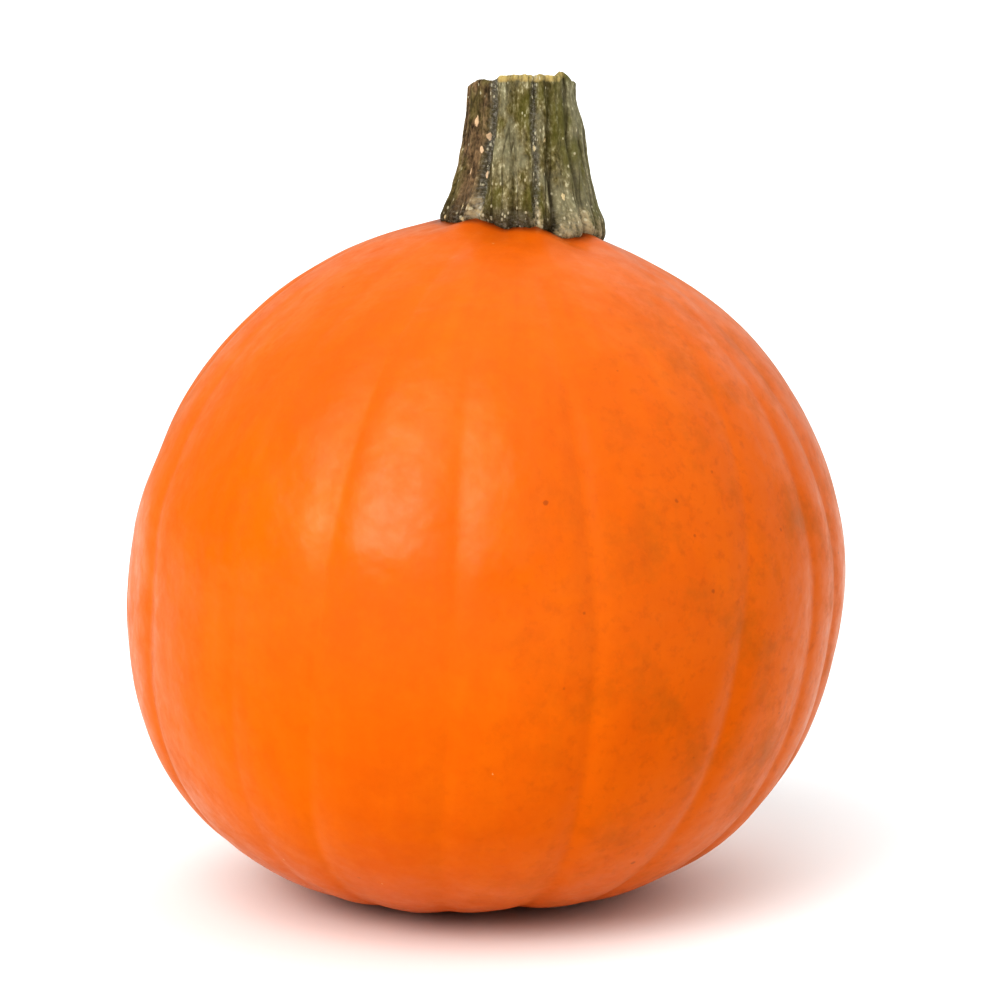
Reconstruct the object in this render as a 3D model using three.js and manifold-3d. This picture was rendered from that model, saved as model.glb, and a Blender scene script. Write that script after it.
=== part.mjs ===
// A small pie pumpkin with its dried stem.
//
// Millimetres, +Z up. The fruit's own axis leans a little towards +X, and its foot is
// flattened where it rests on z = 0. Angles around an axis are in degrees, measured from
// the front (-Y) towards +X, and heights run along the axis.

import * as THREE from 'three';
import { mergeVertices } from 'three/addons/utils/BufferGeometryUtils.js';
import Module from 'manifold-3d';

// The fruit
const HALF_WIDTH = 75;
const HALF_DEPTH = 74;
const CROWN_RISE = 73.6; // widest ring to stem end
const FOOT_DROP = 71; // widest ring to blossom end
const AXIS_LEAN = 4.2;
// How square the profile is above and below the widest ring (2 is an ellipse)
const SHOULDER_SQUARENESS = { left: 1.89, right: 1.93 };
const FOOT_SQUARENESS = { left: 2.74, right: 2.27 };
const SQUARENESS_BLEND = 0.3; // half the band, in sines of latitude, where the two meet

// The shallow grooves between the ribs: where each one crosses the widest ring, and how far
// it wanders from there to either end
const GROOVES = [
  { angle: -80, drift: 0 },
  { angle: -61, drift: 1 },
  { angle: -39, drift: 10 },
  { angle: -25, drift: 2 },
  { angle: -6, drift: -4 },
  { angle: 15, drift: -4 },
  { angle: 41, drift: 3 },
  { angle: 60, drift: -1 },
  { angle: 78, drift: 1 },
  { angle: 99, drift: 2 },
  { angle: 121, drift: -3 },
  { angle: 143, drift: 1 },
  { angle: 164, drift: 4 },
  { angle: 186, drift: -2 },
  { angle: 208, drift: 3 },
  { angle: 231, drift: -1 },
  { angle: 256, drift: 2 },
];
const GROOVE_DEPTH = 0.9;
const GROOVE_SHARPNESS = 0.4; // power of the rib's arch: lower is a narrower groove
const GROOVE_FADE = 0.35; // radians from either end over which the grooves die out

// The rind swells a little to meet the stem and is sunk at the blossom scar. The reach of
// each is in radians from its end of the axis.
const STEM_COLLAR = { height: 0.8, reach: 0.28 };
const BLOSSOM_SCAR = { height: -1.4, reach: 0.055 };
const FLAT_DEPTH = 1.2; // taken off the foot to leave the resting spot

// The stem: a dry stalk, flared at its foot and cut almost level
const STEM_PLACE = { x: 7.3, y: 0 };
const STEM_HEIGHT = 28.6; // crown to cut end
const STEM_ROOT = 6; // how far the untrimmed stalk runs down into the crown
const SHAFT_RADIUS = 10.7;
const FLARE = { reach: 6.7, height: 13 };
const CUT_TILT = 4; // degrees, higher towards +X
const CUT_DISH = 1.5;
const FURROWS = [
  { angle: -74, drift: -3, depth: 1.6 },
  { angle: -31, drift: -10, depth: 2.2 },
  { angle: 13, drift: -4, depth: 1.9 },
  { angle: 62, drift: 2, depth: 1.5 },
  { angle: 108, drift: 4, depth: 1.7 },
  { angle: 150, drift: -3, depth: 1.4 },
  { angle: 196, drift: 3, depth: 1.8 },
  { angle: 241, drift: -2, depth: 1.6 },
];
const FURROW_SHARPNESS = 0.45;

// Parting between the stem and the rind, and how finely the two are faceted
const PARTING = 0.3;
const FRUIT_ROWS = 36;
const COLUMNS_A_RIB = 6;
const COLUMN_CROWDING = 0.4; // draws the columns in a rib towards its grooves
const STEM_ROWS = 14;
const COLUMNS_A_RIDGE = 8;

const { degToRad, lerp, smoothstep, euclideanModulo } = THREE.MathUtils;

const wasm = await Module();
wasm.setup();

function solidOf(geometry) {
  geometry.deleteAttribute('normal');
  geometry.deleteAttribute('uv');
  const merged = mergeVertices(geometry);
  return new wasm.Manifold(new wasm.Mesh({
    numProp: 3,
    vertProperties: merged.attributes.position.array,
    triVerts: Uint32Array.from(merged.index.array),
  }));
}

function geometryOf(solid) {
  const { vertProperties, triVerts } = solid.getMesh();
  const geometry = new THREE.BufferGeometry();
  geometry.setAttribute('position', new THREE.BufferAttribute(vertProperties, 3));
  geometry.setIndex(new THREE.BufferAttribute(triVerts, 1));
  geometry.computeVertexNormals();
  return geometry;
}

function moveEachPoint(geometry, move) {
  const points = geometry.attributes.position;
  const point = new THREE.Vector3();
  for (let i = 0; i < points.count; i += 1) {
    point.fromBufferAttribute(points, i);
    move(point);
    points.setXYZ(i, point.x, point.y, point.z);
  }
  return geometry;
}

// Finds which two lines a turn around the axis lies between, at what angle, and how far up
// the arch of the rib between them: 0 in a line and 1 on the crest.
function ribAt(lines, turn, wander, sharpness) {
  const place = euclideanModulo(turn, 1) * lines.length;
  const first = lines[Math.floor(place) % lines.length];
  const second = lines[(Math.floor(place) + 1) % lines.length];
  const step = place - Math.floor(place);
  const across = step - COLUMN_CROWDING * Math.sin(2 * Math.PI * step) / (2 * Math.PI);
  const start = first.angle + first.drift * wander;
  const end = second.angle + second.drift * wander;
  return {
    angle: degToRad(start + euclideanModulo(end - start, 360) * across),
    arch: (4 * across * (1 - across)) ** sharpness,
    depth: lerp(first.depth ?? 1, second.depth ?? 1, across),
  };
}

function turnOf(point) {
  return Math.atan2(point.x, -point.y) / (2 * Math.PI);
}

function fruitRadius(latitude, angle) {
  const sine = Math.sin(latitude);
  const side = (Math.sin(angle) + 1) / 2;
  const shoulder = lerp(SHOULDER_SQUARENESS.left, SHOULDER_SQUARENESS.right, side);
  const foot = lerp(FOOT_SQUARENESS.left, FOOT_SQUARENESS.right, side);
  const power = lerp(foot, shoulder, smoothstep(sine, -SQUARENESS_BLEND, SQUARENESS_BLEND));
  const girth = 1 / Math.hypot(Math.sin(angle) / HALF_WIDTH, Math.cos(angle) / HALF_DEPTH);
  const reach = sine > 0 ? CROWN_RISE : FOOT_DROP;
  const sum = (Math.cos(latitude) / girth) ** power + (Math.abs(sine) / reach) ** power;
  return sum ** (-1 / power);
}

function swelling({ height, reach }, fromEnd) {
  return height * Math.exp(-((fromEnd / reach) ** 2));
}

// The fruit from its own axis, grown outwards by a skin where a neighbour is to clear it.
function fruitGeometry(skin = 0) {
  const ball = new THREE.SphereGeometry(1, GROOVES.length * COLUMNS_A_RIB, FRUIT_ROWS);
  ball.rotateX(Math.PI / 2);
  return moveEachPoint(ball, (point) => {
    const latitude = Math.asin(THREE.MathUtils.clamp(point.z, -1, 1));
    const rib = ribAt(GROOVES, turnOf(point), Math.sin(latitude), GROOVE_SHARPNESS);
    const fromCrown = Math.PI / 2 - latitude;
    const fromFoot = Math.PI / 2 + latitude;
    const fade = smoothstep(Math.min(fromCrown, fromFoot), 0, GROOVE_FADE);
    const ends = swelling(STEM_COLLAR, fromCrown) + swelling(BLOSSOM_SCAR, fromFoot);
    const groove = GROOVE_DEPTH * (1 - rib.arch) * fade;
    const radius = fruitRadius(latitude, rib.angle) + ends - groove + skin;
    point.set(
      radius * Math.cos(latitude) * Math.sin(rib.angle),
      -radius * Math.cos(latitude) * Math.cos(rib.angle),
      radius * Math.sin(latitude),
    );
  });
}

// The stalk, untrimmed at its root, with z = 0 where the crown ends.
function stalkGeometry() {
  const tube = new THREE.CylinderGeometry(1, 1, 1, FURROWS.length * COLUMNS_A_RIDGE, STEM_ROWS);
  tube.rotateX(Math.PI / 2);
  return moveEachPoint(tube, (point) => {
    const climb = point.z + 0.5;
    const spread = Math.hypot(point.x, point.y);
    const rib = ribAt(FURROWS, turnOf(point), 1 - climb, FURROW_SHARPNESS);
    const level = lerp(-STEM_ROOT, STEM_HEIGHT, climb);
    const flare = FLARE.reach * Math.exp(-Math.max(level, 0) / FLARE.height);
    const furrow = rib.depth * (1 - rib.arch) * (1 + flare / FLARE.reach) / 2;
    const radius = spread * (SHAFT_RADIUS + flare - furrow);
    point.x = radius * Math.sin(rib.angle);
    point.y = -radius * Math.cos(rib.angle);
    const cut = point.x * Math.tan(degToRad(CUT_TILT)) - CUT_DISH * (1 - spread);
    point.z = level + climb * cut;
  });
}

function paint(color, roughness) {
  return new THREE.MeshStandardMaterial({ color, roughness, metalness: 0 });
}

function levelBlock(axis, top) {
  const size = 4 * HALF_WIDTH;
  const block = new THREE.BoxGeometry(size, size, size);
  block.translate(0, 0, top - size / 2);
  return block.applyMatrix4(axis.matrixWorld.clone().invert());
}

const pumpkin = new THREE.Group();

const axis = new THREE.Group();
axis.rotation.y = degToRad(AXIS_LEAN);
pumpkin.add(axis);

const fruit = new THREE.Mesh(fruitGeometry(), paint(0xe96c12, 0.4));
fruit.name = 'fruit';
axis.add(fruit);
pumpkin.updateMatrixWorld(true);

// The foot is cut level, just above its lowest point
const flat = new THREE.Box3().setFromObject(axis, true).min.z + FLAT_DEPTH;
fruit.geometry = geometryOf(solidOf(fruit.geometry).subtract(solidOf(levelBlock(axis, flat))));

// The stalk stands upright and its foot is shaped by the crown under it
const stem = new THREE.Mesh(stalkGeometry(), paint(0x77705a, 0.85));
stem.name = 'stem';
stem.position.set(STEM_PLACE.x, STEM_PLACE.y, CROWN_RISE * Math.cos(degToRad(AXIS_LEAN)));
pumpkin.add(stem);
pumpkin.updateMatrixWorld(true);
const crown = fruitGeometry(PARTING);
crown.applyMatrix4(axis.matrixWorld).applyMatrix4(stem.matrixWorld.clone().invert());
stem.geometry = geometryOf(solidOf(stem.geometry).subtract(solidOf(crown)));

// The resting spot comes to z = 0, with the box around the whole pumpkin centred over it
const bounds = new THREE.Box3().setFromObject(pumpkin, true);
const middle = bounds.getCenter(new THREE.Vector3());
pumpkin.position.set(-middle.x, -middle.y, -bounds.min.z);

export default pumpkin;
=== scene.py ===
import math

import bpy
import numpy as np
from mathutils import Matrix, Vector, noise
from mathutils.bvhtree import BVHTree


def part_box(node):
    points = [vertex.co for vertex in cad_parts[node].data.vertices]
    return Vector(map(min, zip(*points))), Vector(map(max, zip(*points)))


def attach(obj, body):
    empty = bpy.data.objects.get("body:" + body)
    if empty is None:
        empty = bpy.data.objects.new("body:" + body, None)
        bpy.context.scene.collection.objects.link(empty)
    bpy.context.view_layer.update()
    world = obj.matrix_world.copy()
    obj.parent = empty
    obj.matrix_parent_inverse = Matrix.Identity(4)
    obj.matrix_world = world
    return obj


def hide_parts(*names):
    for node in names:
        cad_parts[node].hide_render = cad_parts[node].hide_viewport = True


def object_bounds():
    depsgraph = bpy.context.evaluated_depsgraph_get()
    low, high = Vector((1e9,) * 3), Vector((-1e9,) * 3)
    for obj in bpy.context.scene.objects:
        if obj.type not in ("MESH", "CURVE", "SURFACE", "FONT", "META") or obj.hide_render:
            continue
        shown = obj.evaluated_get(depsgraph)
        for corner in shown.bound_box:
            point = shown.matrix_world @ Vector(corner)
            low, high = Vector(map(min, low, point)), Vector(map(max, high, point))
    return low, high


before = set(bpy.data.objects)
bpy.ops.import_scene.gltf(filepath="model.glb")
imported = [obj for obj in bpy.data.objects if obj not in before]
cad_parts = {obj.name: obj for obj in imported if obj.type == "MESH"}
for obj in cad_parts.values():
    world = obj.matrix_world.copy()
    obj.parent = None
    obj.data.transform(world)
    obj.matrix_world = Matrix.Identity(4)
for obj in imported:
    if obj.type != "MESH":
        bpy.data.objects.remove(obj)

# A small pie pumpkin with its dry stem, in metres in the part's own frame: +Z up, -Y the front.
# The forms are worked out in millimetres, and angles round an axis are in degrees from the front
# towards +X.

CAD_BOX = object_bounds()
MM = 0.001

# The fruit's form, as the solid has it
HALF_WIDTH = 75
HALF_DEPTH = 74
CROWN_RISE = 73.6
FOOT_DROP = 71
AXIS_LEAN = 4.2
# How square its profile is on -X and on +X (2 is an ellipse), and the half band, in sines of
# latitude, where the shoulder's goes over to the foot's
SHOULDER_SQUARENESS = (1.89, 1.93)
FOOT_SQUARENESS = (2.74, 2.27)
SQUARENESS_BLEND = 0.3
# The collar under the stem and the blossom scar, each with its reach in radians from its end
COLLAR_HEIGHT, COLLAR_REACH = 0.8, 0.28
SCAR_HEIGHT, SCAR_REACH = -1.4, 0.055
FLAT_DEPTH = 1.2

# Where the fruit swells or draws in: degrees from +X towards +Z, degrees towards the front, the
# rise and the half width in degrees
BULGES = [
    (18, 0, 0.9, 26), (118, 0, 1.2, 22), (163, 0, -0.6, 10), (186, 0, 1.2, 16), (246, 0, 2.2, 11),
    (277, 0, -2.2, 13), (325, 0, -1.0, 14), (44, 0, 0.7, 10), (275, 23, -1.5, 11), (297, 18, -0.6, 9),
    (332, 0, -0.7, 7),
]

# Each groove: where it crosses the widest ring, how far it wanders to the crown and to the foot,
# its depth, and how many degrees from the crown it takes to come to that depth
GROOVES = [
    (-84, 0, 0, 0.8, 50), (-65.5, -2, -3, 0.9, 115), (-41, -3, -2, 0.3, 60), (-25.3, 0, -6, 0.8, 45),
    (-4.6, -4, -1, 0.6, 80), (16.4, -7, 2, 0.95, 70), (42.5, 4, -6, 0.85, 110), (61.5, -4, -2, 0.8, 100),
    (72.5, -5, -2, 0.8, 70), (99, 2, 4, 0.8, 60), (121, -3, 3, 0.7, 60), (143, 1, -1, 0.9, 60),
    (164, 4, -4, 0.6, 60), (186, -2, 2, 0.8, 60), (208, 3, -3, 0.9, 60), (231, -1, 1, 0.6, 60),
    (256, 2, -2, 0.8, 60),
]
GROOVE_START = 8  # degrees from the crown
GROOVE_FADE = 0.35  # radians from the foot over which the grooves die out
# A groove is a soft valley with a narrow crease in it, which takes this share of its depth
CREASE_WIDTH = 1.6
VALLEY_WIDTH = 3.8
CREASE_SHARE = 0.3

# Folds where the rind rises to meet the stem's toes, and the dips between them: the angle round
# the stem and the rise. They are highest beside the stem and die out away from it and under it
FOLDS = [(-44, 1.1), (-16, -0.7), (12, 0.9), (36, -0.8), (62, 0.9), (130, 0.7), (200, 0.8), (255, 0.5)]
FOLD_WIDTH = 9  # degrees
FOLD_START = 5  # past the stem's shaft
FOLD_REACH = 7
FOLD_INNER = (2, 12)  # from the stem's axis, where they come in
STEM_SHADE_REACH = 5  # how far the painted shade on the rind reaches from the stem's foot
# What belongs round the stem comes in between these heights, so that the blossom end is free of it
CROWN_HEIGHTS = (100, 120)

# Swells, lumps and end-to-end ripples in the rind, each a rise and a size. They come in between
# these heights over the ground, up to a limit, on a rind drawn in by a little to make room for them
RIND_SWELL = (0.22, 26)
RIND_LUMP = (0.05, 8)
RIND_RIPPLE = (0.035, 7)
RIPPLE_STRETCH = 0.12
SWELL_HEIGHTS = (0.2, 3)
SWELL_LIMIT = 0.15
RIND_INSET = 0.05

# The stem's form
STEM_PLACE = (7.3, 0.0)
SHAFT_RADIUS = 10.7
FLARE_HEIGHT = 11.5
CUT_DISH = 1.5
PITH_HOLLOW = 0.7
CUT_DROP = 0.6  # from the top of the solid's cut to the middle of this one's uneven edge
EDGE_ROUND = 0.8
ROOT_DEPTH = 3.0  # how far the skin runs down into the rind
ROOT_INSET = 1.5
# The foot tucks in where it meets the rind, so it stands there this far in from its widest
TUCK_DEPTH = 1.2
TUCK_HEIGHT = 1.0
FOOT_INSET = 1
# How far the foot spreads and how high the cut end rises at a few angles, eased between them
FOOT_SPREADS = [
    (-90, 7.3), (-62, 6.6), (-46, 6.4), (-33, 3.0), (-6, 2.6), (12, 5.4), (25, 3.4), (48, 6.0),
    (72, 6.8), (92, 7.4), (130, 6.6), (180, 6.0), (225, 6.6),
]
CUT_RISES = [
    (-90, -1.4), (-72, -1.0), (-53, -0.2), (-38, -0.6), (-27, 0.5), (43, 0.5), (52, 1.3),
    (64, 0.5), (78, -0.9), (100, -0.4), (150, 0.1), (200, -0.5), (240, -0.2),
]
# Chips knocked off the stem, mostly on its -X side: the angle, the share of the way up, half the
# width and half the height
CHIPS = [
    (-55, 0.73, 0.9, 1.6), (-38, 0.62, 0.4, 1.1), (-43, 0.52, 0.3, 1.0), (-38, 0.34, 0.35, 1.1),
    (-53, 0.37, 0.3, 0.9), (-160, 0.6, 0.5, 1.2), (120, 0.45, 0.4, 0.9), (170, 0.8, 0.4, 0.8),
]
# How pale and corky the foot's toes are, and how much of the cut's edge is bare and straw-coloured
TOES = [
    (-90, 0), (-54, 0.1), (-42, 0.9), (-33, 0.1), (3, 0), (12, 1), (22, 0.1), (36, 0.6), (58, 1),
    (75, 0.7), (95, 0.2), (130, 0.7), (160, 0), (200, 0.8), (240, 0),
]
BARE_EDGE = [
    (-90, 0.3), (-36, 0.3), (-27, 1), (43, 1), (52, 0.9), (66, 0.7), (80, 0.2), (150, 0.9), (210, 0.4),
]
# A ridge on the +X side that dies out over the last quarter of the way up
SIDE_RIDGE = {"angle": 88, "half_width": 34, "height": 1.5, "fades": (23, 30)}
# Each furrow: angle at the cut end, drift down to the foot, depth, half width in degrees
FURROWS = [
    (-76, -3, 0.9, 5), (-57, -2, 1.2, 4.5), (-45, -5, 0.6, 3), (-32, -12, 1.9, 5),
    (-21, -8, 0.5, 3), (-10, 1, 1.0, 4), (2, 0, 0.5, 3), (13, 0, 1.6, 5), (30, -1, 1.7, 4.5),
    (41, 4, 0.5, 3), (52, 5, 1.4, 4), (66, 3, 0.6, 4), (81, 3, 1.0, 5), (104, 3, 1.7, 6),
    (122, 1, 0.6, 3.5), (139, 0, 1.5, 5), (158, -3, 0.6, 3.5), (176, -2, 1.9, 6),
    (197, 2, 0.6, 4), (214, 3, 1.5, 5), (233, 0, 0.6, 3.5), (250, -2, 1.6, 6), (268, -3, 0.5, 3.5),
]
FURROW_WANDER = 1.3  # degrees
CRACK_DEPTH = 0.2
CRACK_SHARE = 0.14  # how near to its middle the noise is where the bark is cracked
# The furrows that grit has lodged in, by their place in the list, and how much of it
GRITTY = {3: 1.0, 7: 0.7, 17: 0.8}

# How finely the two skins are made
FRUIT_ROWS = 200
COLUMNS_A_RIB = 24
COLUMN_CROWDING = 0.6  # draws the columns in a rib towards its grooves
STEM_COLUMNS = 480
ROOT_ROWS, SIDE_ROWS, RIM_ROWS, CUT_ROWS = 8, 130, 8, 28

# The camera looks slightly down from the front, about level with the cut end of the stem
LOOKED_AT = Vector((0.2, 0, 70)) * MM
AIM_OFFSET = Vector((2.6, 0, 13.8)) * MM
CAMERA_AWAY = 0.6
CAMERA_CLIMB = 9.0
LENS = 101.6
FLOOR_HALF_SIZE = 6.0


def smooth(value, low, high):
    """0 at low and before it, 1 at high and past it, eased between. Low may be the greater."""
    step = np.clip((value - low) / (high - low), 0, 1)
    return step * step * (3 - 2 * step)


def turned_from(angle, start):
    """How far an angle is from a start, from -180 to 180 degrees."""
    return (angle - start + 180) % 360 - 180


def all_round(knots, angle):
    """Values all round from a few knots, each an angle and a value, eased from one to the next."""
    angles = np.array([knot[0] for knot in knots] + [knots[0][0] + 360])
    values = np.array([knot[1] for knot in knots] + [knots[0][1]])
    angle = (angle - angles[0]) % 360 + angles[0]
    at = np.searchsorted(angles, angle, side="right") - 1
    return values[at] + (values[at + 1] - values[at]) * smooth(angle, angles[at], angles[at + 1])


def lumps(places, size, octaves=3, stretch=1.0, shift=0):
    """Soft noise from -1 to 1 with lumps of about this size, longer in height where stretch is
    under 1. A shift takes it from another part of the noise."""
    spots = (places * [1, 1, stretch] + shift) / size
    return np.array([noise.fractal(Vector(spot), 1.0, 2.0, octaves) for spot in spots.tolist()])


def dress(name, points, rows, columns, material, node, attributes):
    """Makes a closed skin from rows of points round an axis, with a point at either end."""
    quads = []
    for row in range(rows - 1):
        for column in range(columns):
            beside = (column + 1) % columns
            low, high = 1 + row * columns, 1 + (row + 1) * columns
            quads.append((low + column, low + beside, high + beside, high + column))
    last = len(points) - 1
    top = 1 + (rows - 1) * columns
    for column in range(columns):
        beside = (column + 1) % columns
        quads.append((0, 1 + beside, 1 + column))
        quads.append((last, top + column, top + beside))
    mesh = bpy.data.meshes.new(name)
    mesh.from_pydata((points * MM).tolist(), [], quads)
    mesh.update()
    mesh.shade_smooth()
    for label, values in attributes.items():
        kind, field = ("FLOAT_VECTOR", "vector") if values.ndim == 2 else ("FLOAT", "value")
        layer = mesh.attributes.new(label, kind, "POINT")
        layer.data.foreach_set(field, values.astype(np.float32).ravel())
    mesh.materials.append(material)
    piece = bpy.data.objects.new(name, mesh)
    bpy.context.scene.collection.objects.link(piece)
    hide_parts(node)
    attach(piece, "root")
    return piece


# ---- Fruit ----


def rib_columns():
    """Each column's angle at the widest ring, its drifts to either end, and the grooves beside it."""
    angles, drifts, grooves = [], [], []
    for index, (angle, *drift, depth, top) in enumerate(GROOVES):
        after = GROOVES[(index + 1) % len(GROOVES)]
        width = (after[0] - angle) % 360
        for step in range(COLUMNS_A_RIB):
            across = step / COLUMNS_A_RIB
            across -= COLUMN_CROWDING * math.sin(2 * math.pi * across) / (2 * math.pi)
            angles.append(angle + width * across)
            drifts.append([a + (b - a) * across for a, b in zip(drift, after[1:3])])
            grooves.append((across * width, (1 - across) * width, depth, after[3], top, after[4]))
    return np.array(angles), np.array(drifts), np.array(grooves)


def fruit_radius(latitude, angle):
    """How far the plain fruit reaches from the middle of its axis."""
    sine = np.sin(latitude)
    side = (np.sin(angle) + 1) / 2
    shoulder = SHOULDER_SQUARENESS[0] + side * (SHOULDER_SQUARENESS[1] - SHOULDER_SQUARENESS[0])
    foot = FOOT_SQUARENESS[0] + side * (FOOT_SQUARENESS[1] - FOOT_SQUARENESS[0])
    power = foot + (shoulder - foot) * smooth(sine, -SQUARENESS_BLEND, SQUARENESS_BLEND)
    girth = 1 / np.hypot(np.sin(angle) / HALF_WIDTH, np.cos(angle) / HALF_DEPTH)
    reach = np.where(sine > 0, CROWN_RISE, FOOT_DROP)
    return ((np.cos(latitude) / girth) ** power + (np.abs(sine) / reach) ** power) ** (-1 / power)


def groove_pull(away_degrees, girth):
    """The share of a groove's depth at an angle away from it, where the fruit is this thick."""
    away = np.radians(away_degrees) * girth
    return (CREASE_SHARE * np.exp(-(away / CREASE_WIDTH) ** 2)
            + (1 - CREASE_SHARE) * np.exp(-(away / VALLEY_WIDTH) ** 2))


def fruit_points():
    """The ribbed fruit on an upright axis: its points, how deep in a groove each is, and how far
    it is round and up the rind."""
    angles, drifts, grooves = rib_columns()
    latitude = np.linspace(-np.pi / 2, np.pi / 2, FRUIT_ROWS + 2)[1:-1, None]
    rise = np.sin(latitude)
    drift = drifts[:, 0] * np.maximum(rise, 0) + drifts[:, 1] * np.maximum(-rise, 0)
    angle = np.radians(angles + drift)
    radius = fruit_radius(latitude, angle)
    girth = radius * np.cos(latitude)
    from_crown, from_foot = np.pi / 2 - latitude, np.pi / 2 + latitude
    down = np.degrees(from_crown)
    before, after, before_depth, after_depth, before_top, after_top = grooves.T
    before = before_depth * groove_pull(before, girth) * smooth(down, GROOVE_START, before_top)
    after = after_depth * groove_pull(after, girth) * smooth(down, GROOVE_START, after_top)
    groove = np.maximum(before, after) * smooth(from_foot, 0, GROOVE_FADE)
    radius = radius - groove
    radius = radius + COLLAR_HEIGHT * np.exp(-(from_crown / COLLAR_REACH) ** 2)
    radius = radius + SCAR_HEIGHT * np.exp(-(from_foot / SCAR_REACH) ** 2)
    out = np.stack([np.cos(latitude) * np.sin(angle), -np.cos(latitude) * np.cos(angle),
                    np.sin(latitude) + 0 * angle], -1)
    points = (out * radius[..., None]).reshape(-1, 3)
    ends = np.array([[0, 0, -FOOT_DROP - SCAR_HEIGHT], [0, 0, CROWN_RISE + COLLAR_HEIGHT]])
    points = np.vstack([ends[:1], points, ends[1:]])
    groove = np.concatenate([[0], groove.ravel(), [0]])
    run = np.stack([HALF_WIDTH * np.sin(angle), -HALF_WIDTH * np.cos(angle),
                    HALF_WIDTH * latitude + 0 * angle], -1).reshape(-1, 3)
    run = np.vstack([run[:1], run, run[-1:]])
    return points, groove, run


def settle(points):
    """Leans the fruit, swells it, flattens its resting spot and puts it where its solid stands."""
    lean = math.radians(AXIS_LEAN)
    turned = points @ np.array([[math.cos(lean), 0, -math.sin(lean)], [0, 1, 0],
                                [math.sin(lean), 0, math.cos(lean)]])
    low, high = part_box("fruit")
    middle = (np.array(low) + np.array(high)) / 2 / MM
    shift = middle - (turned.min(0) + turned.max(0)) / 2
    out = turned / np.linalg.norm(turned, axis=1)[:, None]
    swell = 0
    for at, front, rise, half_width in BULGES:
        at, front = math.radians(at), math.radians(front)
        toward = [math.cos(at) * math.cos(front), -math.sin(front), math.sin(at) * math.cos(front)]
        away = np.degrees(np.arccos(np.clip(out @ np.array(toward), -1, 1)))
        swell = swell + rise * np.exp(-(away / half_width) ** 2)
    turned = turned + out * swell[:, None]
    turned[:, 2] = np.maximum(turned[:, 2], turned[:, 2].min() + FLAT_DEPTH)
    shift[2] = low.z / MM - turned[:, 2].min()
    return turned + shift


def fold_rise(turn, from_stem, height):
    """How far the rind rises in folds to meet the stem's toes."""
    rise = 0
    for at, most in FOLDS:
        rise = rise + most * np.exp(-(turned_from(turn, at) / FOLD_WIDTH) ** 2)
    past = np.maximum(from_stem - SHAFT_RADIUS - FOLD_START, 0)
    rise = rise * np.exp(-(past / FOLD_REACH) ** 2) * smooth(height, *CROWN_HEIGHTS)
    return rise * smooth(from_stem, *FOLD_INNER)


def uneven(points, run):
    """The rind's points moved in and out a little, as a grown skin is, but not into the ground."""
    centre = points.mean(0)
    out = (points - centre) / np.linalg.norm(points - centre, axis=1)[:, None]
    swell = RIND_SWELL[0] * lumps(points, RIND_SWELL[1], 2)
    swell = swell + RIND_LUMP[0] * lumps(points, RIND_LUMP[1], 2, shift=50)
    swell = swell + RIND_RIPPLE[0] * lumps(run, RIND_RIPPLE[1], 2, RIPPLE_STRETCH)
    swell = np.minimum(swell, SWELL_LIMIT) * smooth(points[:, 2], *SWELL_HEIGHTS)
    points = points + out * (swell[:, None] - RIND_INSET)
    points[:, 2] = np.maximum(points[:, 2], 0)
    return points


def make_fruit(material):
    points, groove, run = fruit_points()
    points = settle(points)
    aside = points[:, 0] - STEM_PLACE[0]
    turn = np.degrees(np.arctan2(aside, -points[:, 1]))
    points[:, 2] += fold_rise(turn, np.hypot(aside, points[:, 1]), points[:, 2])
    points = uneven(points, run)
    away = np.hypot(aside, points[:, 1]) - SHAFT_RADIUS - all_round(FOOT_SPREADS, turn) + FOOT_INSET
    # How strong the painted shade on the rind is round the stem's foot, only near the crown
    stem_shade = np.exp(-np.maximum(away, 0) / STEM_SHADE_REACH) * smooth(points[:, 2], *CROWN_HEIGHTS)
    return dress("pumpkin_rind", points, FRUIT_ROWS, len(GROOVES) * COLUMNS_A_RIB, material,
                 "fruit", {"groove": groove, "rib_run": run, "stem_shade": stem_shade})


# ---- Stem ----


def furrow_pull(angle, climb, gritty=False):
    """How deep the furrows are, in millimetres, at an angle and a share of the stem's height."""
    pull = 0
    for index, (at, drift, depth, width) in enumerate(FURROWS):
        if gritty:
            depth = GRITTY.get(index, 0)
        wander = FURROW_WANDER * np.sin(9 * climb + 2.4 * index) + drift * (1 - climb) ** 1.5
        away = turned_from(angle - at, wander)
        pull = np.maximum(pull, depth * np.exp(-(away / (width * (0.7 + 0.3 * climb))) ** 2))
    return pull


def chip_mask(angle, climb, height):
    """1 in the middle of a chip, falling to 0 at its edge and below 0 past it."""
    mask = np.full(len(angle), -1.0)
    for at, share, half_width, half_height in CHIPS:
        across = np.radians(turned_from(angle, at)) * SHAFT_RADIUS / half_width
        up = (climb - share) * height.max() / half_height
        mask = np.maximum(mask, 1 - across ** 2 - up ** 2)
    return mask


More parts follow.
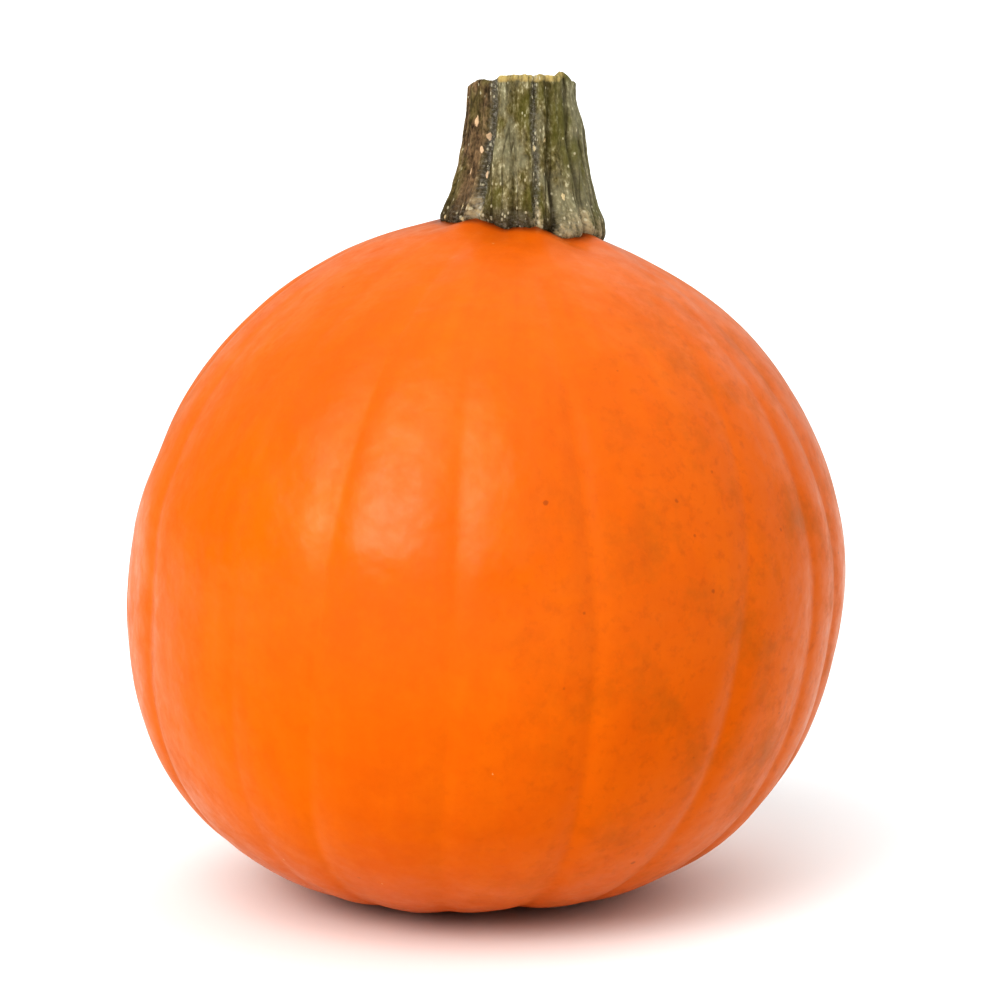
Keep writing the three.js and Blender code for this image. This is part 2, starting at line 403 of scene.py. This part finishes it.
def stem_skin(rind):
    """The stem's skin before its fibres: points, and for each its angle, its height above the
    rind, its share of the way up and how far it is onto the cut end."""
    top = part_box("stem")[1].z / MM - CUT_DROP
    axis = STEM_PLACE[0] + (CAD_BOX[0].x + CAD_BOX[1].x) / 2 / MM
    turn = np.linspace(-180, 180, STEM_COLUMNS, endpoint=False)
    sine, cosine = np.sin(np.radians(turn)), np.cos(np.radians(turn))
    spread = all_round(FOOT_SPREADS, turn)
    # The rind's height where the foot stands on it, found by looking down from above
    foot = []
    for s, c, reach in zip(sine, cosine, SHAFT_RADIUS + spread - FOOT_INSET):
        spot = Vector((axis + reach * s, -reach * c, top + 10)) * MM
        foot.append(rind.ray_cast(spot, Vector((0, 0, -1)))[0].z / MM)
    foot = np.array(foot)
    rises = all_round(CUT_RISES, turn)
    tall = top + rises - foot
    ridge = SIDE_RIDGE["height"] * np.exp(-((turn - SIDE_RIDGE["angle"]) / SIDE_RIDGE["half_width"]) ** 2)
    rows, facts = [], []

    def ring(height, climb, inset=0.0, shrink=1.0, on_cut=0.0, dish=0.0):
        over = np.maximum(height, 0)
        flare = np.exp(-over / FLARE_HEIGHT)
        radius = SHAFT_RADIUS + spread * flare
        radius = radius + ridge * (1 - smooth(over, *SIDE_RIDGE["fades"])) * smooth(over, -2, 5)
        radius = radius - furrow_pull(turn, climb) * (0.5 + 0.4 * flare)
        radius = (radius - TUCK_DEPTH * np.exp(-over / TUCK_HEIGHT) - inset) * shrink
        rows.append(np.column_stack([axis + radius * sine, -radius * cosine, foot + height - dish]))
        facts.append(np.column_stack([turn, height + 0 * turn, climb + 0 * turn, on_cut + 0 * turn]))

    for step in range(ROOT_ROWS):
        down = 1 - step / ROOT_ROWS
        ring(-ROOT_DEPTH * down, 0.0, inset=ROOT_INSET * down)
    for step in range(SIDE_ROWS):
        climb = step / SIDE_ROWS
        ring((tall - EDGE_ROUND) * climb, climb)
    for step in range(RIM_ROWS):
        bend = (step + 0.5) / RIM_ROWS * math.pi / 2
        ring(tall - EDGE_ROUND * (1 - math.sin(bend)), 1.0, inset=EDGE_ROUND * (1 - math.cos(bend)),
             on_cut=0.5 * step / RIM_ROWS)
    for step in range(CUT_ROWS):
        share = 1 - (step + 1) / (CUT_ROWS + 1)
        ring(tall - rises * (1 - share ** 2), 1.0, inset=EDGE_ROUND, shrink=share, on_cut=2 - share,
             dish=CUT_DISH * (1 - share ** 3))
    points, facts = np.vstack(rows), np.vstack(facts)
    ends = [points[:STEM_COLUMNS].mean(0), points[-STEM_COLUMNS:].mean(0)]
    points = np.vstack([ends[:1], points, ends[1:]])
    facts = np.vstack([facts[:1], facts, facts[-1:]])
    return points, facts, axis


def make_stem(material, rind):
    points, facts, axis = stem_skin(rind)
    angle, height, climb, on_cut = facts.T
    over = np.maximum(height, 0)
    around = np.column_stack([np.sin(np.radians(angle)), -np.cos(np.radians(angle))])
    run = np.column_stack([SHAFT_RADIUS * around, points[:, 2]])
    spread = np.linalg.norm(points[:, :2] - [axis, 0], axis=1)

    # Fibres and cracks up the side with warts between them, then a frayed cut with a hollow in it
    cracks = smooth(CRACK_SHARE - np.abs(lumps(run, 2.8, stretch=0.09, shift=12)), 0, CRACK_SHARE)
    fibres = 0.16 * lumps(run, 1.9, octaves=2, stretch=0.10)
    threads = 0.08 * lumps(run, 0.8, octaves=2, stretch=0.2, shift=30)
    warts = 0.20 * lumps(run, 2.0, stretch=0.6, shift=70)
    relief = fibres + threads + warts - CRACK_DEPTH * cracks
    relief = relief * (1 - smooth(on_cut, 0.2, 1)) * smooth(spread, 1, 5)
    points[:, :2] += around * relief[:, None]
    fray = 0.3 * lumps(points, 2.6, stretch=0.3, shift=90)
    fray = fray + 0.12 * lumps(points, 0.9, octaves=2, shift=20)
    points[:, 2] += fray * smooth(on_cut, 0, 0.4) - PITH_HOLLOW * smooth(on_cut, 1.7, 1.85)

    # What the bark shows where: painted shade in the furrows, dust at the foot, its corky toes and painted
    # shade between them, along the cut's bare edge, on the cut, and on the grey and the brown side. What
    # is at the foot dies out over 4.5 to 6 mm
    corky = all_round(TOES, angle)
    rows = ROOT_ROWS + SIDE_ROWS + RIM_ROWS + CUT_ROWS
    return dress("pumpkin_stem", points, rows, STEM_COLUMNS, material, "stem", {
        "fibre_run": run,
        "furrow": furrow_pull(angle, climb),
        "grit": furrow_pull(angle, climb, gritty=True),
        "crack": cracks,
        "chip": chip_mask(angle, climb, height),
        "foot": np.exp(-over / 6),
        "toe": corky * np.exp(-(over / 5) ** 2),
        # Painted shade at the foot, least on the corky toes
        "under": (1 - 0.8 * corky) * np.exp(-(over / 4.5) ** 2),
        "rim": all_round(BARE_EDGE, angle) * np.exp(-((1 - climb) * 26) ** 2),
        "cut_end": on_cut,
        "grey_side": 0.45 * smooth(np.abs(angle - 78), 50, 18),
        "brown_side": smooth(np.abs(turned_from(angle + 9 * (1 - climb), -88)), 60, 46),
    })


# ---- Materials ----


def dye(code):
    """An sRGB hex colour as linear red, green, blue and alpha."""
    parts = [int(code[i:i + 2], 16) / 255 for i in (1, 3, 5)]
    return [p / 12.92 if p <= 0.04045 else ((p + 0.055) / 1.055) ** 2.4 for p in parts] + [1]


def add(tree, kind, sockets=None, **settings):
    """Adds a node, with its settings, and each socket set to a value or linked to an output. A
    MapRange's sockets are its value, from low, from high, to low and to high, and an RGBA Mix's
    are its share and, at 6 and 7, its two colours."""
    made = tree.nodes.new(kind)
    for name, value in settings.items():
        setattr(made, name, value)
    for socket, value in (sockets or {}).items():
        if isinstance(value, bpy.types.NodeSocket):
            tree.links.new(value, made.inputs[socket])
        else:
            made.inputs[socket].default_value = value
    return made


def per(size):
    """The scale of a pattern whose repeat is this many millimetres."""
    return 1 / (size * MM)


def coated(tree, ground, coats):
    """A ground colour with coats laid over it in turn, each a share and a colour."""
    for share, colour in coats:
        ground = add(tree, "ShaderNodeMix", {0: share, 6: ground, 7: colour}, data_type="RGBA").outputs[2]
    return ground


def blank_material(name):
    """A new material and its node tree, with nothing in it yet."""
    material = bpy.data.materials.new(name)
    material.use_nodes = True
    material.node_tree.nodes.clear()
    return material, material.node_tree


def rind_marks(tree, place, specks, dull):
    """Fine specks and freckles under 1 mm across, many on the dull side and few elsewhere, and
    pale nicks under 1 mm, drawn out where something has scraped past."""
    speck = add(tree, "ShaderNodeMapRange", {0: specks, 1: 0.53, 2: 0.75, 4: 0.6}).outputs[0]
    thick = add(tree, "ShaderNodeMapRange", {0: dull, 3: 0.12, 4: 1.0}).outputs[0]
    speck = add(tree, "ShaderNodeMath", {0: speck, 1: thick}, operation="MULTIPLY").outputs[0]

    freckles = add(tree, "ShaderNodeTexVoronoi", {"Vector": place, "Scale": per(3.6)})
    edge = add(tree, "ShaderNodeMath", {0: specks, 1: 0.4}, operation="MULTIPLY").outputs[0]
    edge = add(tree, "ShaderNodeMath", {0: freckles.outputs["Distance"], 1: edge},
               operation="ADD").outputs[0]
    dot = add(tree, "ShaderNodeMapRange", {0: edge, 1: 0.32, 2: 0.24}).outputs[0]
    pick = add(tree, "ShaderNodeSeparateColor", {0: freckles.outputs["Color"]}).outputs[0]
    reach = add(tree, "ShaderNodeMapRange", {0: dull, 3: 0.03, 4: 0.14}).outputs[0]
    few = add(tree, "ShaderNodeMath", {0: pick, 1: reach}, operation="LESS_THAN").outputs[0]
    freckle = add(tree, "ShaderNodeMath", {0: dot, 1: few}, operation="MULTIPLY").outputs[0]
    freckle = add(tree, "ShaderNodeMath", {0: freckle, 1: 0.5}, operation="MULTIPLY").outputs[0]

    bent = add(tree, "ShaderNodeVectorMath", {0: place, 1: (1.0, 1.0, 0.6)},
               operation="MULTIPLY").outputs[0]
    nicks = add(tree, "ShaderNodeTexVoronoi", {"Vector": bent, "Scale": per(7)})
    ragged = add(tree, "ShaderNodeMath", {0: specks, 1: 0.2}, operation="MULTIPLY").outputs[0]
    nick = add(tree, "ShaderNodeMath", {0: nicks.outputs["Distance"], 1: ragged},
               operation="ADD").outputs[0]
    nick = add(tree, "ShaderNodeMapRange", {0: nick, 1: 0.135, 2: 0.12}).outputs[0]
    which = add(tree, "ShaderNodeSeparateColor", {0: nicks.outputs["Color"]}).outputs[0]
    rare = add(tree, "ShaderNodeMath", {0: which, 1: 0.25}, operation="LESS_THAN").outputs[0]
    nick = add(tree, "ShaderNodeMath", {0: nick, 1: rare}, operation="MULTIPLY").outputs[0]
    nick = add(tree, "ShaderNodeMath", {0: nick, 1: 0.7}, operation="MULTIPLY").outputs[0]
    return speck, freckle, nick


def rind_wax(tree, place, dull):
    """How much wax there is: thick on the shoulders and thin near the ground and on the dull
    side. Seen aslant, even thin wax shines."""
    height = add(tree, "ShaderNodeSeparateXYZ", {0: place}).outputs[2]
    wax = add(tree, "ShaderNodeMapRange", {0: height, 1: 0.045, 2: 0.085, 3: 0.12, 4: 0.4},
              interpolation_type="SMOOTHSTEP").outputs[0]
    kept = add(tree, "ShaderNodeMapRange", {0: dull, 3: 1.0, 4: 0.6}).outputs[0]
    wax = add(tree, "ShaderNodeMath", {0: wax, 1: kept}, operation="MULTIPLY").outputs[0]
    aslant = add(tree, "ShaderNodeLayerWeight", {0: 0.5}).outputs["Facing"]
    sheen = add(tree, "ShaderNodeMapRange", {0: aslant, 1: 0.15, 2: 0.6, 4: 0.37}).outputs[0]
    return add(tree, "ShaderNodeMath", {0: wax, 1: sheen}, operation="MAXIMUM").outputs[0]


def rind_grain(tree, place):
    """Faint dents about 9 mm apart, over pores. Real pores are too fine to show, so these are
    drawn 1.2 mm apart."""
    pores = add(tree, "ShaderNodeTexNoise", {"Vector": place, "Scale": per(1.2),
                                             "Detail": 2.0}).outputs["Fac"]
    dents = add(tree, "ShaderNodeTexNoise", {"Vector": place, "Scale": per(9), "Detail": 2.5,
                                             "Roughness": 0.45}).outputs["Fac"]
    fine = add(tree, "ShaderNodeBump", {"Height": pores, "Distance": 0.018 * MM, "Strength": 1.0})
    broad = add(tree, "ShaderNodeBump", {"Height": dents, "Distance": 0.65 * MM, "Strength": 1.0,
                                         "Normal": fine.outputs[0]})
    return broad.outputs[0]


def waxy_pumpkin_rind():
    """Pumpkin rind, grown and wiped clean: a thin natural wax gives a soft broad gloss over a
    deep orange, mottled all over, that goes dull and specked on one side."""
    material, tree = blank_material("waxy_pumpkin_rind")
    place = add(tree, "ShaderNodeTexCoord").outputs["Object"]
    run = add(tree, "ShaderNodeAttribute", attribute_name="rib_run").outputs["Vector"]
    groove = add(tree, "ShaderNodeAttribute", attribute_name="groove").outputs["Fac"]

    # Broad patches, streaks that run from end to end, and mottling 2 to 4 mm across
    patches = add(tree, "ShaderNodeTexNoise", {"Vector": place, "Scale": per(34),
                                               "Detail": 2.0}).outputs["Fac"]
    patch = add(tree, "ShaderNodeMapRange", {0: patches, 1: 0.35, 2: 0.65}).outputs[0]
    drawn_out = add(tree, "ShaderNodeVectorMath", {0: run, 1: (0.16, 0.16, 0.02)},
                    operation="MULTIPLY").outputs[0]
    streaks = add(tree, "ShaderNodeTexNoise", {"Vector": drawn_out, "Scale": 1.0,
                                               "Detail": 3.0}).outputs["Fac"]
    streak = add(tree, "ShaderNodeMapRange", {0: streaks, 1: 0.35, 2: 0.7, 4: 0.4}).outputs[0]
    mottles = add(tree, "ShaderNodeTexNoise", {"Vector": place, "Scale": per(5), "Detail": 4.0,
                                               "Roughness": 0.7}).outputs["Fac"]
    darker = add(tree, "ShaderNodeMapRange", {0: mottles, 1: 0.5, 2: 0.72, 4: 0.28}).outputs[0]
    lighter = add(tree, "ShaderNodeMapRange", {0: mottles, 1: 0.5, 2: 0.3, 4: 0.22}).outputs[0]
    hollow = add(tree, "ShaderNodeMapRange", {0: groove, 2: 1.0, 4: 0.15}).outputs[0]
    # Painted shade, browner, on the rind just round the stem, and a dark painted shadow where the two meet
    round_stem = add(tree, "ShaderNodeAttribute", attribute_name="stem_shade").outputs["Fac"]
    stem_shade = add(tree, "ShaderNodeMath", {0: round_stem, 1: 0.6}, operation="MULTIPLY").outputs[0]
    stem_contact_shadow = add(tree, "ShaderNodeMapRange", {0: round_stem, 1: 0.55, 2: 0.95, 4: 0.85}).outputs[0]

    # The dull side: +X, and a little towards the front and the foot, where smudges and specks gather and
    # the rind is a little darker
    toward = add(tree, "ShaderNodeVectorMath", {0: place, 1: (0.9, -0.2, -0.12)},
                 operation="DOT_PRODUCT").outputs["Value"]
    dull = add(tree, "ShaderNodeMapRange", {0: toward, 1: -0.012, 2: 0.06},
               interpolation_type="SMOOTHSTEP").outputs[0]
    # The rind a little darker towards this side
    darker_to_plus_x = add(tree, "ShaderNodeMath", {0: dull, 1: 0.5}, operation="MULTIPLY").outputs[0]
    smudges = add(tree, "ShaderNodeTexNoise", {"Vector": place, "Scale": per(15), "Detail": 6.0,
                                               "Roughness": 0.68}).outputs["Fac"]
    smudge = add(tree, "ShaderNodeMapRange", {0: smudges, 1: 0.52, 2: 0.72, 4: 0.75}).outputs[0]
    smudge = add(tree, "ShaderNodeMath", {0: smudge, 1: dull}, operation="MULTIPLY").outputs[0]
    specks = add(tree, "ShaderNodeTexNoise", {"Vector": place, "Scale": per(2.4), "Detail": 3.0,
                                              "Roughness": 0.65}).outputs["Fac"]
    speck, freckle, nick = rind_marks(tree, place, specks, dull)
    orange = coated(tree, dye("#CB6300"), (
        (patch, dye("#D46C00")), (streak, dye("#CB5F00")), (stem_shade, dye("#AE5400")),
        (stem_contact_shadow, dye("#6A3009")), (hollow, dye("#D67202")), (darker, dye("#C45A00")),
        (lighter, dye("#D97204")), (darker_to_plus_x, dye("#B95900")), (smudge, dye("#A3580E")),
        (speck, dye("#AB5208")), (freckle, dye("#823C10")), (nick, dye("#D89E6C")),
    ))

    # A satin gloss, rubbed in patches and duller in the grooves
    shine = add(tree, "ShaderNodeMapRange", {0: mottles, 1: 0.35, 2: 0.65, 3: 0.29, 4: 0.38}).outputs[0]
    rubbed = add(tree, "ShaderNodeMapRange", {0: smudges, 1: 0.45, 2: 0.6, 4: 0.12}).outputs[0]
    shine = add(tree, "ShaderNodeMath", {0: shine, 1: rubbed}, operation="ADD").outputs[0]
    worn = add(tree, "ShaderNodeMapRange", {0: groove, 2: 1.0, 4: 0.16}).outputs[0]
    shine = add(tree, "ShaderNodeMath", {0: shine, 1: worn}, operation="ADD").outputs[0]
    surface = add(tree, "ShaderNodeBsdfPrincipled", {
        "Base Color": orange, "Roughness": shine, "Normal": rind_grain(tree, place),
        "IOR": 1.42, "Specular IOR Level": rind_wax(tree, place, dull)})
    add(tree, "ShaderNodeOutputMaterial", {0: surface.outputs[0]})
    return material


def straw_coloured_cut(tree, cut_end):
    """Pith, spotted with the ends of darker strands, greyer inside and with painted shade in the small
    hollow in the middle."""
    place = add(tree, "ShaderNodeTexCoord").outputs["Object"]
    pith = add(tree, "ShaderNodeTexNoise", {"Vector": place, "Scale": per(1.6), "Detail": 5.0,
                                            "Roughness": 0.7}).outputs["Fac"]
    pith = add(tree, "ShaderNodeMapRange", {0: pith, 1: 0.35, 2: 0.65}).outputs[0]
    inner = add(tree, "ShaderNodeMapRange", {0: cut_end, 1: 1.25, 2: 1.5, 4: 0.5}).outputs[0]
    # Painted shade in the small hollow in the pith, with a ragged edge
    hollow = add(tree, "ShaderNodeMath", {0: pith, 1: 0.12}, operation="MULTIPLY").outputs[0]
    hollow = add(tree, "ShaderNodeMath", {0: cut_end, 1: hollow}, operation="SUBTRACT").outputs[0]
    hollow = add(tree, "ShaderNodeMapRange", {0: hollow, 1: 1.64, 2: 1.84, 4: 0.85}).outputs[0]
    return coated(tree, dye("#6B5A36"), (
        (pith, dye("#B5A377")), (inner, dye("#7A7458")), (hollow, dye("#2F2714")),
    ))


def grit_and_scabs(tree, skin, run, short, mottle, patches):
    """Pale flecks about 0.3 mm across, a few everywhere and many with the grit, fine and dense in
    a few furrows and at the foot, and scabs up to 1 mm wide and longer up the stalk."""
    flecks = add(tree, "ShaderNodeTexVoronoi", {"Vector": short, "Scale": 1 / 0.5})
    fleck = add(tree, "ShaderNodeMapRange", {0: flecks.outputs["Distance"], 1: 0.45, 2: 0.25}).outputs[0]
    lot = add(tree, "ShaderNodeSeparateColor", {0: flecks.outputs["Color"]}).outputs[0]
    scabs = add(tree, "ShaderNodeTexVoronoi", {"Vector": short, "Scale": 1 / 2.2})
    ragged = add(tree, "ShaderNodeMath", {0: mottle, 1: 0.6}, operation="MULTIPLY").outputs[0]
    scab = add(tree, "ShaderNodeMath", {0: scabs.outputs["Distance"], 1: ragged},
               operation="ADD").outputs[0]
    scab = add(tree, "ShaderNodeMapRange", {0: scab, 1: 0.48, 2: 0.42}).outputs[0]
    draw = add(tree, "ShaderNodeSeparateColor", {0: scabs.outputs["Color"]}).outputs[0]

    dusty = add(tree, "ShaderNodeMath", {0: skin["foot"], 1: patches}, operation="MULTIPLY").outputs[0]
    where = add(tree, "ShaderNodeMath", {0: skin["grit"], 1: dusty}, operation="MAXIMUM").outputs[0]
    where = add(tree, "ShaderNodeMapRange", {0: where, 1: 0.12, 2: 0.75}).outputs[0]
    sand = add(tree, "ShaderNodeTexNoise", {"Vector": run, "Scale": 1 / 0.55, "Detail": 5.0,
                                            "Roughness": 0.85}).outputs["Fac"]
    sandy = add(tree, "ShaderNodeMapRange", {0: sand, 1: 0.47, 2: 0.66, 4: 0.85}).outputs[0]
    sandy = add(tree, "ShaderNodeMath", {0: sandy, 1: where}, operation="MULTIPLY").outputs[0]
    crowd = add(tree, "ShaderNodeMapRange", {0: where, 3: 0.045, 4: 0.5}).outputs[0]
    here = add(tree, "ShaderNodeMath", {0: lot, 1: crowd}, operation="LESS_THAN").outputs[0]
    fleck = add(tree, "ShaderNodeMath", {0: fleck, 1: here}, operation="MULTIPLY").outputs[0]
    keen = add(tree, "ShaderNodeMapRange", {0: where, 3: 0.6, 4: 0.75}).outputs[0]
    pale = add(tree, "ShaderNodeMath", {0: fleck, 1: keen}, operation="MULTIPLY").outputs[0]
    often = add(tree, "ShaderNodeMapRange", {0: skin["brown_side"], 3: 0.12, 4: 0.36}).outputs[0]
    some = add(tree, "ShaderNodeMath", {0: draw, 1: often}, operation="LESS_THAN").outputs[0]
    scab = add(tree, "ShaderNodeMath", {0: scab, 1: some}, operation="MULTIPLY").outputs[0]
    return fleck, pale, scab, sandy


def weathered_bark(tree, skin, light, patches):
    """Olive bark, greyer on one side, mossy in patches, and brown on the other side."""
    ramp = add(tree, "ShaderNodeValToRGB", {0: light})
    shades = ramp.color_ramp.elements
    shades[0].color, shades[1].color = dye("#3D3418"), dye("#CFC8A8")
    for lightness, code in ((0.4, "#6C6240"), (0.65, "#898060")):
        shades.new(lightness).color = dye(code)
    greyer = add(tree, "ShaderNodeMapRange", {0: patches, 1: 0.48, 2: 0.6, 4: 0.5}).outputs[0]
    greyer = add(tree, "ShaderNodeMath", {0: greyer, 1: skin["grey_side"]},
                 operation="MAXIMUM").outputs[0]
    mossy = add(tree, "ShaderNodeMapRange", {0: patches, 1: 0.52, 2: 0.38, 4: 0.6}).outputs[0]
    brown = add(tree, "ShaderNodeMapRange", {0: patches, 1: 0.4, 2: 0.5, 3: 0.45}).outputs[0]
    brown = add(tree, "ShaderNodeMath", {0: skin["brown_side"], 1: brown},
                operation="MULTIPLY").outputs[0]
    rusty = add(tree, "ShaderNodeMix", {0: light, 6: dye("#2E2215"), 7: dye("#937A5A")},
                data_type="RGBA").outputs[2]
    return coated(tree, ramp.outputs[0], (
        (greyer, dye("#8B8971")), (mossy, dye("#5B581C")), (brown, rusty),
    ))


def dry_pumpkin_stalk():
    """Pumpkin stalk, dried and weathered: corky olive fibres, matt, gone pale where rubbed and
    brown on one side, with cracks, pale scabs, grit in the furrows and a straw-coloured end."""
    material, tree = blank_material("dry_pumpkin_stalk")
    skin = {
        name: add(tree, "ShaderNodeAttribute", attribute_name=name).outputs["Fac"]
        for name in ("furrow", "grit", "crack", "chip", "foot", "toe", "under", "rim", "cut_end",
                     "brown_side", "grey_side")
    }
    # The run is in millimetres, so here a pattern's scale is 1 over its size
    run = add(tree, "ShaderNodeAttribute", attribute_name="fibre_run").outputs["Vector"]

    # Fibres about 0.4 mm wide that run up the stalk, over mottling and a fine grain
    along = add(tree, "ShaderNodeVectorMath", {0: run, 1: (1, 1, 0.16)}, operation="MULTIPLY").outputs[0]
    fibres = add(tree, "ShaderNodeTexNoise", {"Vector": along, "Scale": 1 / 1.0, "Detail": 5.0,
                                              "Roughness": 0.7}).outputs["Fac"]
    short = add(tree, "ShaderNodeVectorMath", {0: run, 1: (1, 1, 0.5)}, operation="MULTIPLY").outputs[0]
    mottle = add(tree, "ShaderNodeTexNoise", {"Vector": short, "Scale": 1 / 1.3, "Detail": 4.0,
                                              "Roughness": 0.7}).outputs["Fac"]
    grain = add(tree, "ShaderNodeTexNoise", {"Vector": short, "Scale": 1 / 0.5, "Detail": 2.0,
                                             "Roughness": 0.6}).outputs["Fac"]
    patches = add(tree, "ShaderNodeTexNoise", {"Vector": short, "Scale": 1 / 4.5,
                                               "Detail": 3.0}).outputs["Fac"]
    both = add(tree, "ShaderNodeMath", {0: fibres, 1: mottle}, operation="ADD").outputs[0]
    whole = add(tree, "ShaderNodeMath", {0: both, 1: grain}, operation="ADD").outputs[0]
    light = add(tree, "ShaderNodeMapRange", {0: whole, 1: 1.18, 2: 1.88}).outputs[0]
    fleck, pale, scab, sandy = grit_and_scabs(tree, skin, run, short, mottle, patches)

    # Chips with ragged edges, painted shade in the furrows and cracks, corky toes and a bare rim
    ragged = add(tree, "ShaderNodeMapRange", {0: whole, 1: 1.2, 2: 1.8, 3: -0.45, 4: 0.45}).outputs[0]
    chip = add(tree, "ShaderNodeMath", {0: skin["chip"], 1: ragged}, operation="ADD").outputs[0]
    chip = add(tree, "ShaderNodeMapRange", {0: chip, 1: 0.1, 2: 0.35, 4: 0.9}).outputs[0]
    # Painted shade in the furrows, darkest where they are deepest
    deep = add(tree, "ShaderNodeMapRange", {0: skin["furrow"], 1: 0.4, 2: 1.7, 4: 0.45}).outputs[0]
    gritty = add(tree, "ShaderNodeMapRange", {0: skin["grit"], 1: 0.15, 2: 0.8, 4: 0.5}).outputs[0]
    # Painted shade in the cracks
    crack_shade = add(tree, "ShaderNodeMapRange", {0: skin["crack"], 1: 0.3, 2: 0.9, 4: 0.55}).outputs[0]
    # Painted shade at the foot between the corky toes
    under = add(tree, "ShaderNodeMapRange", {0: skin["under"], 1: 0.1, 2: 0.8, 4: 0.7}).outputs[0]
    toe = add(tree, "ShaderNodeMath", {0: skin["toe"], 1: light}, operation="MULTIPLY").outputs[0]
    toe = add(tree, "ShaderNodeMapRange", {0: toe, 1: 0.1, 2: 0.5, 4: 0.8}).outputs[0]
    rim = add(tree, "ShaderNodeMath", {0: skin["rim"], 1: both}, operation="MULTIPLY").outputs[0]
    rim = add(tree, "ShaderNodeMapRange", {0: rim, 1: 0.75, 2: 1.1}).outputs[0]
    onto = add(tree, "ShaderNodeMapRange", {0: skin["cut_end"], 1: 0.45, 2: 1.0}).outputs[0]
    bark = coated(tree, weathered_bark(tree, skin, light, patches), (
        (deep, dye("#3A311B")), (under, dye("#33280F")), (gritty, dye("#45433F")),
        (crack_shade, dye("#30270F")), (toe, dye("#B6A684")), (rim, dye("#B5A068")),
        (scab, dye("#D2C096")), (chip, dye("#D3B795")), (pale, dye("#CCC5A8")),
        (sandy, dye("#97948A")), (onto, straw_coloured_cut(tree, skin["cut_end"])),
    ))

    ridges = add(tree, "ShaderNodeBump", {"Height": whole, "Distance": 0.25 * MM, "Strength": 0.9})
    crumbs = add(tree, "ShaderNodeBump", {"Height": fleck, "Distance": 0.08 * MM, "Strength": 0.8,
                                          "Normal": ridges.outputs[0]})
    surface = add(tree, "ShaderNodeBsdfPrincipled", {
        "Base Color": bark, "Roughness": 0.75, "Normal": crumbs.outputs[0],
        "IOR": 1.4, "Specular IOR Level": 0.35})
    add(tree, "ShaderNodeOutputMaterial", {0: surface.outputs[0]})
    return material


def matt_white_board():
    """Painted board, rolled matt: a plain white ground, faintly cool, that only shows soft shade."""
    material = bpy.data.materials.new("matt_white_board")
    material.use_nodes = True
    board = material.node_tree.nodes["Principled BSDF"]
    board.inputs["Base Color"].default_value = dye("#F6FAFB")
    board.inputs["Roughness"].default_value = 0.9
    board.inputs["Specular IOR Level"].default_value = 0.1
    return material


# ---- Studio ----


def make_floor():
    mesh = bpy.data.meshes.new("floor")
    half = FLOOR_HALF_SIZE
    mesh.from_pydata([(-half, -half, 0), (half, -half, 0), (half, half, 0), (-half, half, 0)], [],
                     [(0, 1, 2, 3)])
    mesh.materials.append(matt_white_board())
    floor = bpy.data.objects.new("floor", mesh)
    bpy.context.scene.collection.objects.link(floor)


def make_lamp(name, climb, turn, strength, width):
    """A soft lamp so far off that it lights the floor evenly. All but strength in degrees."""
    data = bpy.data.lights.new(name, "SUN")
    data.energy = strength
    data.angle = math.radians(width)
    lamp = bpy.data.objects.new(name, data)
    climb, turn = math.radians(climb), math.radians(turn)
    toward = Vector((math.sin(turn) * math.cos(climb), -math.cos(turn) * math.cos(climb), math.sin(climb)))
    lamp.rotation_euler = toward.to_track_quat("Z", "Y").to_euler()
    bpy.context.scene.collection.objects.link(lamp)


def make_sky(above, back, right, front):
    """A dim room with white cards above, behind, on the right and in front, white to the eye."""
    world = bpy.data.worlds.new("studio")
    world.use_nodes = True
    tree = world.node_tree
    tree.nodes.clear()
    parts = add(tree, "ShaderNodeSeparateXYZ", {0: add(tree, "ShaderNodeTexCoord").outputs["Generated"]})
    # Each card: its axis (0 is X, 1 is Y, 2 is Z), the shares of the way along it where the card
    # begins and is at its brightest, and how bright it is there
    cards = ((1, 0.0, 0.8, back), (0, 0.1, 1.0, right), (1, 0.0, -0.8, front), (2, 0.1, 1.0, above))
    room = 0.0
    for axis, begins, full, level in cards:
        card = add(tree, "ShaderNodeMapRange", {0: parts.outputs[axis], 1: begins, 2: full, 4: level})
        room = add(tree, "ShaderNodeMath", {0: room, 1: card.outputs[0]}, operation="ADD").outputs[0]
    rays = add(tree, "ShaderNodeLightPath")
    level = add(tree, "ShaderNodeMix", {0: rays.outputs["Is Camera Ray"], 2: room, 3: 1.0},
                data_type="FLOAT")
    glow = add(tree, "ShaderNodeBackground", {0: (1, 1, 1, 1), 1: level.outputs[0]})
    add(tree, "ShaderNodeOutputWorld", {0: glow.outputs[0]})
    bpy.context.scene.world = world


def make_camera():
    climb = math.radians(CAMERA_CLIMB)
    data = bpy.data.cameras.new("camera")
    data.lens = LENS
    data.sensor_width = 36
    camera = bpy.data.objects.new("camera", data)
    camera.location = LOOKED_AT + Vector((0, -math.cos(climb), math.sin(climb))) * CAMERA_AWAY
    aim = LOOKED_AT + AIM_OFFSET
    camera.rotation_euler = (aim - camera.location).to_track_quat("-Z", "Y").to_euler()
    bpy.context.scene.collection.objects.link(camera)
    bpy.context.scene.camera = camera


fruit = make_fruit(waxy_pumpkin_rind())
rind = BVHTree.FromPolygons([v.co[:] for v in fruit.data.vertices],
                            [p.vertices[:] for p in fruit.data.polygons])
make_stem(dry_pumpkin_stalk(), rind)

make_floor()
make_lamp("key", climb=40, turn=-33, strength=1.4, width=60)
make_lamp("key_middle", climb=32, turn=-36, strength=0.75, width=28)
make_lamp("fill", climb=50, turn=105, strength=0.35, width=90)
make_sky(above=0.55, back=0.45, right=0.52, front=0.17)
make_camera()
bpy.context.scene.view_settings.view_transform = "Standard"
bpy.context.scene.view_settings.look = "High Contrast"
